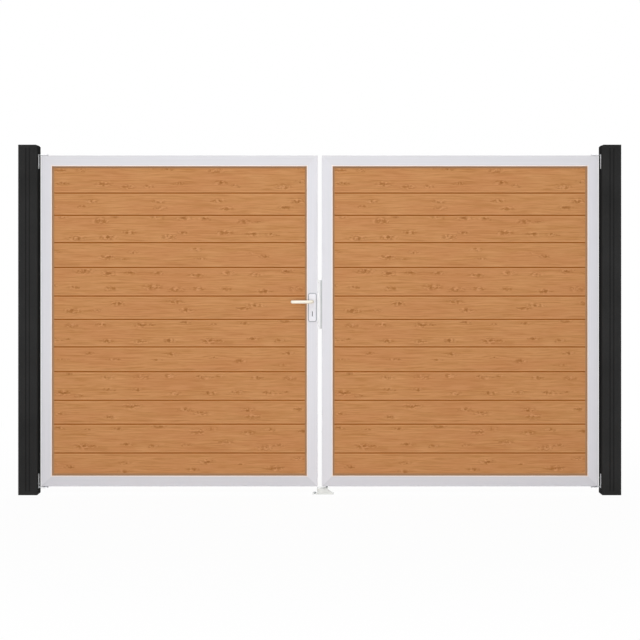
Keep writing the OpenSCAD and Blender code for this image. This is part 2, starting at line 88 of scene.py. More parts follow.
def add(tree, kind, inputs=None, stops=(), **settings):
    """Adds one shader node. inputs go to feed(), and a tuple of them fills the sockets in order; stops are
    a colour ramp's (position, hex colour) from left to right; settings are the node's properties."""
    made = tree.nodes.new("ShaderNode" + kind)
    for key, value in settings.items():
        setattr(made, key, value)
    for i, (position, colour) in enumerate(stops):
        # A new ramp has two stops already.
        stop = made.color_ramp.elements[i] if i < 2 else made.color_ramp.elements.new(position)
        stop.position, stop.color = position, linear(colour)
    feed(made, dict(enumerate(inputs)) if isinstance(inputs, tuple) else inputs or {})
    return made


def surface(name, **sockets):
    """A new material with these values on its shader. Returns the material, its tree and the shader."""
    material = bpy.data.materials.new(name)
    material.use_nodes = True
    shader = material.node_tree.nodes["Principled BSDF"]
    feed(shader, {key.replace("_", " "): value for key, value in sockets.items()})
    return material, material.node_tree, shader


def black_powder_coat():
    """Extruded aluminium, powder-coated black in a fine texture: dull and without reflections, with a faint
    orange-peel grain that breaks up the light."""
    material, tree, shader = surface("powder_coated_aluminium_black_fine_texture", Specular_IOR_Level=0.0)
    place = add(tree, "TexCoord").outputs["Object"]
    # The coat's grain is about 0.5 mm; drawn 3 mm, so that it shows.
    grain = add(tree, "TexNoise", {"Vector": place, "Scale": 1 / (3 * MM), "Detail": 3.0, "Roughness": 0.6})
    # Its tone drifts a little over 260 mm.
    drift = add(tree, "TexNoise", {"Vector": place, "Scale": 1 / (260 * MM), "Detail": 2.0})
    mottle = add(tree, "Mix", {"Factor": 0.5, "A": grain, "B": drift})
    tone = add(tree, "ValToRGB", {"Fac": mottle}, stops=[(0.35, "2B2B2B"), (0.65, "353535")])
    # The narrow grooves get painted shade: darker where an occlusion test within 5 mm finds them closed in.
    hollow = add(tree, "AmbientOcclusion", {"Distance": 5 * MM}, samples=12, only_local=True).outputs["AO"]
    groove_shade = add(tree, "MapRange", {"Value": hollow, "From Min": 0.7, "From Max": 1.0,
                                  "To Min": 1.0, "To Max": 0.0})
    coat = add(tree, "Mix", {"Factor": groove_shade, "A": tone, "B": linear("1C1C1C")}, data_type="RGBA")
    dull = add(tree, "MapRange", {"Value": grain, "To Min": 0.68, "To Max": 0.82})
    bump = add(tree, "Bump", {"Height": grain, "Strength": 0.25, "Distance": 0.2 * MM})
    feed(shader, {"Base Color": coat, "Roughness": dull, "Normal": bump})
    return material


def silver_powder_coat(name, along, dark, light):
    """Extruded aluminium, powder-coated silver-white: smooth and satin, a little metallic from the flake in
    the coat, with faint die lines that run the length of the bar, which is the axis along."""
    material, tree, shader = surface(
        f"powder_coated_aluminium_silver_white_{name}", Metallic=0.2, Roughness=0.5, Specular_IOR_Level=0.25)
    place = add(tree, "TexCoord").outputs["Object"]
    # Die lines stand about 1 mm apart; drawn 4 mm apart and 600 mm long, so that they show.
    line_scale = [1 / (4 * MM)] * 3
    line_scale[along] = 1 / (600 * MM)
    drawn_out = add(tree, "Mapping", {"Vector": place, "Scale": line_scale})
    lines = add(tree, "TexNoise", {"Vector": drawn_out, "Scale": 1.0, "Detail": 2.0})
    # Flakes of 0.05 mm, drawn 2 mm across.
    flake = add(tree, "TexNoise", {"Vector": place, "Scale": 1 / (2 * MM), "Detail": 1.0})
    shade = add(tree, "Mix", {"Factor": 0.35, "A": lines, "B": flake})
    tone = add(tree, "ValToRGB", {"Fac": shade}, stops=[(0.3, dark), (0.7, light)])
    bump = add(tree, "Bump", {"Height": lines, "Strength": 0.08, "Distance": 0.1 * MM})
    feed(shader, {"Base Color": tone, "Normal": bump})
    return material


def satin_coat(name, dark, light):
    """Die-cast zinc under a smooth satin coat: even and soft to look at, with a slight swell left by the
    casting."""
    material, tree, shader = surface(f"powder_coated_zinc_{name}", Roughness=0.32)
    place = add(tree, "TexCoord").outputs["Object"]
    # The skin of the coat swells over 6 to 8 mm.
    swell = add(tree, "TexNoise", {"Vector": place, "Scale": 1 / (7 * MM), "Detail": 2.0})
    tone = add(tree, "ValToRGB", {"Fac": swell}, stops=[(0.3, dark), (0.7, light)])
    bump = add(tree, "Bump", {"Height": swell, "Strength": 0.1, "Distance": 0.15 * MM})
    feed(shader, {"Base Color": tone, "Normal": bump})
    return material


def zinc_spangle(tree, dark, light):
    """The cloudy crystals of hot-dip zinc, between two hex colours. Returns their colour, their clouds and
    how dull they are."""
    place = add(tree, "TexCoord").outputs["Object"]
    # Zinc crystals 5 to 8 mm across.
    crystals = add(tree, "TexVoronoi", {"Vector": place, "Scale": 1 / (6 * MM)})
    cloud = add(tree, "TexNoise", {"Vector": place, "Scale": 1 / (9 * MM), "Detail": 3.0})
    blend = add(tree, "Mix", {"Factor": 0.6, "A": crystals, "B": cloud})
    tone = add(tree, "ValToRGB", {"Fac": blend}, stops=[(0.25, dark), (0.65, light)])
    return tone, cloud, add(tree, "MapRange", {"Value": cloud, "To Min": 0.42, "To Max": 0.6})


def weathered_anchor_steel():
    """Mild steel, hot-dip galvanised and weathered: matt grey with a cloudy zinc spangle."""
    material, tree, shader = surface("galvanised_steel_weathered", Metallic=0.4)
    tone, _, dull = zinc_spangle(tree, "A6A8AA", "B8BABC")
    feed(shader, {"Base Color": tone, "Roughness": dull})
    return material


def bracket_steel(shade_from_x, pale_from_x):
    """Galvanised steel hinge brackets. The leg is matt grey with a cloudy zinc spangle; faces that look
    sideways get painted shade and lose their gloss.
    On a left bracket the arm gets painted shade from the leg's inner face at shade_from_x to pale_from_x,
    standing in for the shadowed gap between post and leaf, and past that a painted highlight as pale as the
    leaf that it carries. The right brackets mirror the left ones."""
    material, tree, shader = surface("galvanised_steel_bracket", Specular_IOR_Level=0.15)
    tone, cloud, dull = zinc_spangle(tree, "BEC0C2", "CCCED0")
    place = add(tree, "TexCoord")
    facing = add(tree, "SeparateXYZ", {"Vector": place.outputs["Normal"]})
    # Faces that look sideways, towards a post or a leaf, get painted shade.
    sideways = add(tree, "Math", (facing.outputs["X"],), operation="ABSOLUTE")
    side_shade = add(tree, "MapRange", {"Value": sideways, "From Min": 0.5, "From Max": 0.8})
    where = add(tree, "SeparateXYZ", {"Vector": place.outputs["Object"]})
    offset = add(tree, "Math", (where.outputs["X"], gate_middle.x), operation="SUBTRACT")
    reach = add(tree, "Math", (offset,), operation="ABSOLUTE")
    shade_reach, pale_reach = gate_middle.x - shade_from_x, gate_middle.x - pale_from_x
    # Painted shade on the arm from the leg's inner face to near the leaf's edge, standing in for the shadowed
    # gap between post and leaf.
    gap_shade = add(tree, "MapRange", {"Value": reach, "From Min": shade_reach - 1 * MM,
                                  "From Max": shade_reach - 0.5 * MM, "To Min": 1.0, "To Max": 0.0})
    # coated is 1 past the leaf's edge, where the arm gets a painted highlight as pale as the leaf; it is no
    # real coat.
    coated = add(tree, "MapRange", {"Value": reach, "From Min": pale_reach - 1 * MM,
                                    "From Max": pale_reach, "To Min": 1.0, "To Max": 0.0})
    # Where the painted shade falls, the steel turns dark grey (4C4E50).
    painted_shade = add(tree, "Math", (side_shade, gap_shade), operation="MAXIMUM")
    steel = add(tree, "Mix", {"Factor": painted_shade, "A": tone, "B": linear("4C4E50")}, data_type="RGBA")
    # This pale tone, named coat, is the arm's painted highlight, not a coat.
    coat = add(tree, "ValToRGB", {"Fac": cloud}, stops=[(0.3, "EFF0F2"), (0.7, "F7F7F9")])
    colour = add(tree, "Mix", {"Factor": coated, "A": steel, "B": coat}, data_type="RGBA")
    # The sideways faces lose the metal's gloss too, so that their painted shade stays dark.
    metal = add(tree, "MapRange", {"Value": side_shade, "To Min": 0.4, "To Max": 0.0})
    rough = add(tree, "Math", (dull, side_shade), operation="MAXIMUM")
    feed(shader, {"Base Color": colour, "Metallic": metal, "Roughness": rough})
    return material


def brushed_steel():
    """Stainless steel, ground lengthwise with a 240 grit belt: fine upright scratches that draw its
    highlights out."""
    material, tree, shader = surface("stainless_steel_brushed", Metallic=1.0)
    place = add(tree, "TexCoord").outputs["Object"]
    # A 240 grit belt leaves scratches of about 0.06 mm; drawn 0.8 mm wide and 40 mm long, so that they show.
    scratch_scale = (1 / (0.8 * MM), 1 / (0.8 * MM), 1 / (40 * MM))
    drawn_out = add(tree, "Mapping", {"Vector": place, "Scale": scratch_scale})
    scratch = add(tree, "TexNoise", {"Vector": drawn_out, "Scale": 1.0, "Detail": 3.0})
    tone = add(tree, "ValToRGB", {"Fac": scratch}, stops=[(0.3, "A9ABAD"), (0.7, "C2C4C6")])
    dull = add(tree, "MapRange", {"Value": scratch, "To Min": 0.28, "To Max": 0.42})
    bump = add(tree, "Bump", {"Height": scratch, "Strength": 0.1, "Distance": 0.05 * MM})
    feed(shader, {"Base Color": tone, "Roughness": dull, "Normal": bump})
    return material


def blackened_steel():
    """Mild steel, blackened and oiled: near-black with a low sheen and brown-grey clouds."""
    material, tree, shader = surface("mild_steel_blackened", Metallic=0.6)
    place = add(tree, "TexCoord").outputs["Object"]
    # The oil dries in clouds of about 5 mm.
    cloud = add(tree, "TexNoise", {"Vector": place, "Scale": 1 / (5 * MM), "Detail": 4.0})
    tone = add(tree, "ValToRGB", {"Fac": cloud}, stops=[(0.35, "242426"), (0.7, "35332F")])
    dull = add(tree, "MapRange", {"Value": cloud, "To Min": 0.38, "To Max": 0.55})
    feed(shader, {"Base Color": tone, "Roughness": dull})
    return material


def moulded(name, dark, light, roughness, grit):
    """A moulded nylon or rubber: one colour right through, with a fine eroded mould texture of this grit in
    millimetres, and hardly any shine."""
    material, tree, shader = surface(name, Roughness=roughness)
    place = add(tree, "TexCoord").outputs["Object"]
    spark = add(tree, "TexNoise", {"Vector": place, "Scale": 1 / (grit * MM), "Detail": 2.0})
    tone = add(tree, "ValToRGB", {"Fac": spark}, stops=[(0.3, dark), (0.7, light)])
    bump = add(tree, "Bump", {"Height": spark, "Strength": 0.2, "Distance": 0.1 * MM})
    feed(shader, {"Base Color": tone, "Normal": bump})
    return material


def coated_casting():
    """Grey iron, sand-cast and coated pale grey: the sand's grain still shows through the coat."""
    material, tree, shader = surface("cast_iron_sand_cast_coated_pale_grey", Roughness=0.25)
    place = add(tree, "TexCoord").outputs["Object"]
    # Moulding sand leaves pits of about 0.5 mm; drawn 1.5 mm, so that they show.
    sand = add(tree, "TexNoise", {"Vector": place, "Scale": 1 / (1.5 * MM), "Detail": 3.0, "Roughness": 0.7})
    cloud = add(tree, "TexNoise", {"Vector": place, "Scale": 1 / (25 * MM), "Detail": 2.0})
    blend = add(tree, "Mix", {"Factor": 0.6, "A": sand, "B": cloud})
    tone = add(tree, "ValToRGB", {"Fac": blend}, stops=[(0.35, "DDDFDC"), (0.65, "EAEBE7")])
    bump = add(tree, "Bump", {"Height": sand, "Strength": 0.25, "Distance": 0.2 * MM})
    feed(shader, {"Base Color": tone, "Normal": bump})
    return material


GRAIN_MAP = "grain"  # a board's own map: metres along it, and metres from its middle line
EDGE_MAP = "edge"  # metres in from the board's nearest arris, below 0 on its chamfers


def larch(name, rows, knot_pitch):
    """Larch, planed and oiled: honey-brown with fine grain along the board, which flows round knots of brown
    smudges and pale flecks. The knots stand in two rows, at the heights rows over the board's middle line,
    about knot_pitch apart."""
    material, tree, shader = surface(f"larch_planed_and_oiled_{name}", Roughness=0.65, Specular_IOR_Level=0.2)
    board = add(tree, "UVMap", uv_map=GRAIN_MAP)
    split = add(tree, "SeparateXYZ", {"Vector": board})
    along, across = split.outputs["X"], split.outputs["Y"]

    def streaks(place, length, width, detail, roughness=0.5):
        """Noise drawn out along the board: length and width are the size of one streak."""
        drawn_out = add(tree, "VectorMath", (place, (length, width, 1.0)), operation="DIVIDE")
        return add(tree, "TexNoise", {"Vector": drawn_out, "Scale": 1.0, "Detail": detail,
                                      "Roughness": roughness}, noise_dimensions="2D")

    def reach(offset, length, height):
        """0 at a knot's middle, 1 on an oval that reaches this far along and across, and more outside it."""
        ovals = add(tree, "VectorMath", (offset, (length, height, 1.0)), operation="DIVIDE")
        return add(tree, "VectorMath", (ovals,), operation="LENGTH")

    def stained(base, colour, share, *marks):
        """base with this share of a hex colour over it, in the marks only. A mark is (value, full, none):
        whole where the value is full or beyond, and softly gone at none."""
        for value, full, none in marks:
            mark = add(tree, "MapRange", {"Value": value, "From Min": full, "From Max": none,
                                          "To Min": 1.0, "To Max": 0.0}, interpolation_type="SMOOTHSTEP")
            share = add(tree, "Math", (mark, share), operation="MULTIPLY")
        return add(tree, "Mix", {"Factor": share, "A": base, "B": linear(colour)}, data_type="RGBA")

    # Each knot has its own three chances. The upper row's knots stand 370 mm along from the lower row's.
    upper = add(tree, "Math", (across, (rows[0] + rows[1]) / 2), operation="GREATER_THAN")
    shifted = add(tree, "Math", (upper, 370 * MM, along), operation="MULTIPLY_ADD")
    row_along = add(tree, "Math", (shifted, knot_pitch), operation="DIVIDE")
    knot = add(tree, "TexVoronoi", {"W": row_along, "Scale": 1.0, "Randomness": 0.9}, voronoi_dimensions="1D")
    chance = add(tree, "SeparateColor", {"Color": knot.outputs["Color"]})
    red, green, blue = (chance.outputs[k] for k in ("Red", "Green", "Blue"))

    # How far a point is from its knot's middle, along and across, in metres. A knot stands up to 20 mm over
    # or under its row, and noise of 18 by 6 mm bends its outline, so that no two look alike.
    past = add(tree, "Math", (row_along, knot.outputs["W"]), operation="SUBTRACT")
    past = add(tree, "Math", (past, knot_pitch), operation="MULTIPLY")
    row = add(tree, "Math", (upper, rows[0] - rows[1], rows[1]), operation="MULTIPLY_ADD")
    scatter = add(tree, "Math", (green, 40 * MM, -20 * MM), operation="MULTIPLY_ADD")
    knot_height = add(tree, "Math", (row, scatter), operation="ADD")
    over = add(tree, "Math", (across, knot_height), operation="SUBTRACT")
    offset = add(tree, "CombineXYZ", (past, over))
    skew_place = add(tree, "VectorMath", (board, (18 * MM, 6 * MM, 1.0)), operation="DIVIDE")
    skew = add(tree, "TexNoise", {"Vector": skew_place, "Scale": 1.0, "Detail": 2.0}, noise_dimensions="2D")
    offset = add(tree, "VectorMath", (skew.outputs["Color"], (44 * MM, 16 * MM, 0.0), offset),
                 operation="MULTIPLY_ADD")
    offset = add(tree, "VectorMath", (offset, (22 * MM, 8 * MM, 0.0)), operation="SUBTRACT")
    # A smaller twin stands up to 38 mm beside it and 9 mm over or under it.
    apart = add(tree, "CombineXYZ", (blue, red))
    twin = add(tree, "VectorMath", (apart, (-76 * MM, -18 * MM, 0.0), offset), operation="MULTIPLY_ADD")
    twin = add(tree, "VectorMath", (twin, (38 * MM, 9 * MM, 0.0)), operation="ADD")

    # Grain lines bulge round a knot: the nearer to it, the more of their height they lose.
    near = reach(offset, 34 * MM, 12 * MM)
    far_off = add(tree, "Math", (near, near), operation="MULTIPLY")
    far_off = add(tree, "Math", (far_off, -1.0), operation="MULTIPLY")
    pull = add(tree, "Math", (far_off,), operation="EXPONENT")
    pull = add(tree, "Math", (pull, 0.8), operation="MULTIPLY")
    lost = add(tree, "Math", (add(tree, "SeparateXYZ", (offset,)).outputs["Y"], pull), operation="MULTIPLY")
    height = add(tree, "Math", (across, lost), operation="SUBTRACT")
    # Slow waves of the grain, 300 mm long and 14 mm high.
    waves = streaks(board, 300 * MM, 60 * MM, 1.0)
    height = add(tree, "Math", (waves, 14 * MM, height), operation="MULTIPLY_ADD")
    grain = add(tree, "CombineXYZ", (along, height))

    # Year rings stand 2 to 3 mm apart on the face; drawn 6 mm apart and 170 mm long, so that they show.
    rings = streaks(grain, 170 * MM, 6 * MM, 3.0, 0.55)
    # Pores and fibres of 0.3 mm, drawn 1.6 mm wide and 45 mm long.
    fibre = streaks(grain, 45 * MM, 1.6 * MM, 2.0)
    figure = add(tree, "Mix", {"Factor": 0.3, "A": rings, "B": fibre})
    colour = add(tree, "ValToRGB", {"Fac": figure},
                 stops=[(0.25, "B0773F"), (0.5, "C48A56"), (0.75, "CF9862")])
    # Broad brown bands, silky pale ones, and a redder tinge over 420 mm.
    colour = stained(colour, "B47A42", 0.3, (streaks(grain, 520 * MM, 26 * MM, 2.0), 0.36, 0.5))
    colour = stained(colour, "D09A66", 0.35, (streaks(grain, 130 * MM, 9 * MM, 2.0), 0.34, 0.46))
    colour = stained(colour, "BF7C4E", 0.3, (streaks(board, 420 * MM, 90 * MM, 2.0), 0.35, 0.62))
    # Patches 220 mm long where the summer wood stands out in darker lines.
    colour = stained(colour, "AA713B", 0.3, (streaks(grain, 240 * MM, 9 * MM, 1.0), 0.36, 0.5),
                     (streaks(board, 220 * MM, 45 * MM, 1.0), 0.6, 0.48))

    # A knot is a ragged cluster, 35 to 100 mm long and 12 to 35 mm high: brown smudges and pale flecks of
    # 20 by 8 mm side by side, a tail along the grain, and a small darker eye in most.
    size = add(tree, "Math", (red, 0.5), operation="ADD")
    cluster = add(tree, "Math", (reach(offset, 46 * MM, 16 * MM), size), operation="DIVIDE")
    patch = streaks(grain, 20 * MM, 8 * MM, 2.0)
    colour = stained(colour, "9A5F2A", 0.5, (cluster, 0.25, 1.2), (patch, 0.40, 0.54))
    colour = stained(colour, "D9A272", 0.5, (cluster, 0.25, 1.2), (patch, 0.66, 0.54))
    frayed = add(tree, "Math", (fibre, 1.6, -0.8), operation="MULTIPLY_ADD")
    tail = add(tree, "Math", (reach(offset, 55 * MM, 6 * MM), frayed), operation="ADD")
    colour = stained(colour, "A0642E", 0.35, (tail, 0.1, 1.0))
    ragged = add(tree, "MapRange", {"Value": patch, "From Min": 0.40, "From Max": 0.54,
                                    "To Min": -0.3, "To Max": 0.6}, interpolation_type="SMOOTHSTEP")
    eye = add(tree, "Math", (reach(offset, 12 * MM, 5 * MM), size), operation="DIVIDE")
    eye = add(tree, "Math", (eye, ragged), operation="ADD")
    eye_share = add(tree, "Math", (blue, 0.5, 0.05), operation="MULTIPLY_ADD")
    colour = stained(colour, "8C521D", eye_share, (eye, 0.3, 1.3))
    # Six knots in ten have the twin.
    twin_eye = add(tree, "Math", (reach(twin, 12 * MM, 4.5 * MM), ragged), operation="ADD")
    has_twin = add(tree, "Math", (green, 0.4), operation="GREATER_THAN")
    twin_share = add(tree, "Math", (has_twin, 0.35), operation="MULTIPLY")
    colour = stained(colour, "8C521D", twin_share, (twin_eye, 0.3, 1.2))

    # Painted highlight and shade along the seams: a board's face is painted paler for about 5 mm beside its
    # arrises, and its chamfers a darker brown, standing in for the shade in the joints.
    from_edge = add(tree, "SeparateXYZ", (add(tree, "UVMap", uv_map=EDGE_MAP),)).outputs["Y"]
    colour = stained(colour, "D39C69", 0.45, (from_edge, 2 * MM, 7 * MM))
    colour = stained(colour, "BA7430", 1.0, (from_edge, -1.2 * MM, 0.0))
    bump = add(tree, "Bump", {"Height": figure, "Strength": 0.3, "Distance": 0.3 * MM})
    feed(shader, {"Base Color": colour, "Normal": bump})
    return material


X, Z = 0, 2  # the axes that a bar can run along
LEG_W = 5 * MM  # how far a hinge bracket's leg stands out from its post
PALE_PAST = 5 * MM  # how far past the leaf's edge the painted highlight reaches on the bracket's arm

post_coat = black_powder_coat()
# The top rails, bottom rails and outer stiles take copies of the silver coat in painted shade: the top rails
# and outer stiles a shade darker than the meeting stiles, the bottom rails darker still, standing in for how
# the light falls on them.
top_coat_painted_shade = silver_powder_coat("top_rails", X, "CFCFD3", "D7D6DA")
low_coat_painted_shade = silver_powder_coat("bottom_rails", X, "C8C8CD", "D0CFD4")
outer_coat_painted_shade = silver_powder_coat("outer_stiles", Z, "D0D0D5", "D8D7DC")
inner_coat = silver_powder_coat("meeting_stiles", Z, "D2D2D7", "DAD9DE")
lever_coat = satin_coat("white_satin", "FBF5E5", "FFFAEA")
plate_coat = satin_coat("cool_white_satin", "E6E6ED", "F0F0F5")
keeper_coat = satin_coat("near_white_satin", "EAEAEC", "F2F2F3")
hinge_steel = bracket_steel(shade_from_x=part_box("left_upper_hinge")[0].x + LEG_W,
                            pale_from_x=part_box("left_hinge_stile")[0].x - PALE_PAST)
anchor_steel = weathered_anchor_steel()
stainless = brushed_steel()
black_steel = blackened_steel()
grey_nylon = moulded("nylon_moulded_light_grey", "C6C8CB", "CFD1D4", 0.5, 1.2)
black_nylon = moulded("nylon_moulded_black", "17171A", "1F1F22", 0.5, 1.2)
rubber = moulded("epdm_rubber_extruded_brown", "A27B56", "AE8662", 0.8, 2.0)
cap_nylon = moulded("nylon_moulded_off_white", "E8E9E6", "F0F1EE", 0.5, 1.2)
# The bead is white PVC; its warm pink tint is a painted reflection of the orange boards beside it.
bead_plastic = moulded("rigid_pvc_extruded_white", "F0E1D8", "F7E9E1", 0.4, 3.0)
# The lock plate seals' mid-grey is partly painted shade, standing in for the shadow round the plates.
seal_rubber = moulded("epdm_rubber_moulded_mid_grey", "A0A2A8", "AAACB2", 0.7, 1.5)
# The keeper buffers' grey is partly painted shade, standing in for the shadow beside the stile.
buffer_rubber = moulded("epdm_rubber_extruded_grey", "BEC2C2", "C8CBCB", 0.7, 1.5)
casting = coated_casting()
wide_larch = larch("wide_board", (52 * MM, -36 * MM), 165 * MM)
narrow_larch = larch("narrow_board", (22 * MM, -14 * MM), 330 * MM)

by_slot = {
    "post_metal": post_coat,
    "frame_metal": inner_coat,
    "hinge_steel": hinge_steel,
    "boards": wide_larch,
    "lock_steel": stainless,
    "handle_metal": lever_coat,
    "keeper_metal": keeper_coat,
    "bush_plastic": grey_nylon,
    "guide_plastic": black_nylon,
    "bolt_steel": black_steel,
    "stop_metal": casting,
}
# These nodes have a material of their own: the rails and outer stiles a copy of the silver coat in painted
# shade, the escutcheons a cooler white.
by_node = {
    "left_top_rail": top_coat_painted_shade, "right_top_rail": top_coat_painted_shade,
    "left_bottom_rail": low_coat_painted_shade, "right_bottom_rail": low_coat_painted_shade,
    "left_hinge_stile": outer_coat_painted_shade, "right_hinge_stile": outer_coat_painted_shade,
    "front_escutcheon": plate_coat, "rear_escutcheon": plate_coat,
}
for part in frame["record"]["subparts"]:
    cad = frame["nodes"][part["node"]]
    cad.data.materials.clear()
    cad.data.materials.append(by_node.get(part["node"], by_slot[part["material_slot"]]))


# ---------------------------------------------------------------- mesh tools

SUNK = 0.4 * MM  # how far a screw, gasket or bead is let into what it stands on


def piece(name, bm, materials, body, stands_for=(), smooth=None):
    """Makes an object of a bmesh, rides it on a body and gives it its materials. smooth is the widest angle
    shaded smooth, in degrees."""
    mesh = bpy.data.meshes.new(name)
    bmesh.ops.recalc_face_normals(bm, faces=bm.faces)
    bm.to_mesh(mesh)
    bm.free()
    for material in materials:
        mesh.materials.append(material)
    made = bpy.data.objects.new(name, mesh)
    bpy.context.scene.collection.objects.link(made)
    if smooth is not None:
        mesh.shade_smooth()
        mesh.set_sharp_from_angle(angle=math.radians(smooth))
    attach(made, body)
    if stands_for:
        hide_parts(*stands_for)


def skin(bm, loops):
    """Joins each loop of points to the next with four-sided faces, and returns the faces."""
    faces = []
    for here, there in zip(loops, loops[1:]):
        for i in range(len(here)):
            j = (i + 1) % len(here)
            faces.append(bm.faces.new((here[i], here[j], there[j], there[i])))
    return faces


def solid(bm, loops):
    """A solid skinned over these loops, with flat ends. Returns its faces, the ends first."""
    return [bm.faces.new(loops[0][::-1]), bm.faces.new(loops[-1]), *skin(bm, loops)]


def turned(bm, middle, axis, rings, sides=24):
    """Adds a closed turned shape: rings are (radius, height along the axis, corners), with 0 corners for
    a round ring and 6 for a hexagonal one."""
    upright = Vector(axis).to_track_quat("Z", "Y").to_matrix().to_4x4()
    place = Matrix.Translation(Vector(middle)) @ upright
    loops = []
    for radius, height, corners in rings:
        loop = []
        for i in range(sides):
            angle = 2 * math.pi * i / sides
            r = radius
            if corners:
                step = 2 * math.pi / corners
                r = radius * math.cos(step / 2) / math.cos(angle % step - step / 2)
            loop.append(bm.verts.new(place @ Vector((r * math.cos(angle), r * math.sin(angle), height))))
        loops.append(loop)
    solid(bm, loops)


def socket_screw(bm, middle, axis, head_d, head_h, dome=0.35):
    """A screw's head with a hexagon socket, its underside at middle, facing along axis. dome is the share
    of its height that is crowned."""
    r, key = head_d / 2, head_d * 0.24
    turned(bm, middle, axis, [
        (r, -SUNK, 0), (r, head_h * (1 - dome), 0), (r * 0.94, head_h * (1 - dome * 0.45), 0),
        (r * 0.78, head_h * (1 - dome * 0.12), 0), (key * 1.25, head_h, 0), (key, head_h, 6),
        (key, head_h * 0.45, 6)])


def end_screws(bm, node, facing, from_end, head_d, head_h):
    """Two socket screws on the face of a node that looks along facing, from_end in from its lower and upper
    end."""
    low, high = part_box(node)
    middle, half = (low + high) / 2, (high - low) / 2
    x, y = middle.x + facing[0] * half.x, middle.y + facing[1] * half.y
    for z in (low.z + from_end, high.z - from_end):
        socket_screw(bm, (x, y, z), facing, head_d, head_h)


def ring_bar(bm, opening, profile):
    """Adds a bar mitred round the inside of an opening. opening is x0, x1, z0, z1; profile is a closed list
    of (how far in from the opening's edge, y)."""
    x0, x1, z0, z1 = opening
    corners = ((x0, z0, 1, 1), (x1, z0, -1, 1), (x1, z1, -1, -1), (x0, z1, 1, -1))
    loops = [[bm.verts.new((x + sx * inset, y, z + sz * inset)) for inset, y in profile]
             for x, z, sx, sz in corners]
    skin(bm, loops + loops[:1])


# ---------------------------------------------------------------- boards

# How much of each board's height shows, from the top down, in millimetres; the last board takes the rest.
COVERS = [159, 121, 149, 135, 156, 127, 150, 135, 156, 130, 157]
WIDE = 145  # boards covering at least this are wide ones, with their rows of knots further apart
JOINT = 3.6 * MM  # the gap between two boards' shoulders
CHAMFER = 2.4 * MM
TONGUE, TONGUE_T, TONGUE_TAPER, PLAY = 10 * MM, 6 * MM, 1 * MM, 0.4 * MM
LOG = (2, 60)  # where on a long log a board's grain starts, in metres
BACK_GRAIN = 3.1  # how far along the log the grain of its back face lies, in metres


def board_section(low, high, half, tongue, groove):
    """The closed (y, z) outline of one tongue-and-groove board with chamfered arrises."""
    t = TONGUE_T / 2
    middle = (low + high) / 2
    outline = [(-half, low + CHAMFER), (-half, middle), (-half, high - CHAMFER), (-half + CHAMFER, high)]
    if tongue:
        outline += [(-t, high), (-t + TONGUE_TAPER, high + TONGUE), (t - TONGUE_TAPER, high + TONGUE),
                    (t, high)]
    outline += [(half - CHAMFER, high), (half, high - CHAMFER), (half, middle), (half, low + CHAMFER),
                (half - CHAMFER, low)]
    if groove:
        t += PLAY
        outline += [(t, low), (t, low + TONGUE + PLAY), (-t, low + TONGUE + PLAY), (-t, low)]
    return outline + [(-half + CHAMFER, low)]


def boards(name, node, body):
    """One leaf's boards, in place of its infill."""
    low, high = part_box(node)
    half = (high.y - low.y) / 2
    chance = random.Random(7)  # the same for both leaves, so that their boards match
    edges = [high.z]
    for cover in COVERS:
        edges.append(edges[-1] - cover * MM)
    edges.append(low.z)
    bm = bmesh.new()
    grain, rim = bm.loops.layers.uv.new(GRAIN_MAP), bm.loops.layers.uv.new(EDGE_MAP)
    for k, (top, bottom) in enumerate(zip(edges, edges[1:])):
        first, last = k == 0, k == len(edges) - 2
        section = board_section(bottom + (0 if last else JOINT / 2), top - (0 if first else JOINT / 2), half,
                                not first, not last)
        faces = solid(bm, [[bm.verts.new((x, y, z)) for y, z in section] for x in (low.x, high.x)])
        middle, start = (top + bottom) / 2, chance.uniform(*LOG)
        wide = (top - bottom) >= WIDE * MM
        for face in faces:
            face.material_index = 0 if wide else 1
            back = sum(v.co.y for v in face.verts) > len(face.verts) * half / 2
            for corner in face.loops:
                co = corner.vert.co
                corner[grain].uv = (co.x - low.x + start + (BACK_GRAIN if back else 0), co.z - middle)
                corner[rim].uv = (0, (top - bottom - JOINT) / 2 - CHAMFER - abs(co.z - middle))
    piece(name, bm, [wide_larch, narrow_larch], body, (node,))


boards("left_boards", "left_infill", "left_leaf")
boards("right_boards", "right_infill", "right_leaf")


# ---------------------------------------------------------------- beads and gaskets round the boards

def opening_of(left, right, top, bottom):
    """x0, x1, z0, z1 of the opening between a leaf's four bars."""
    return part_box(left)[1].x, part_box(right)[0].x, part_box(bottom)[1].z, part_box(top)[0].z


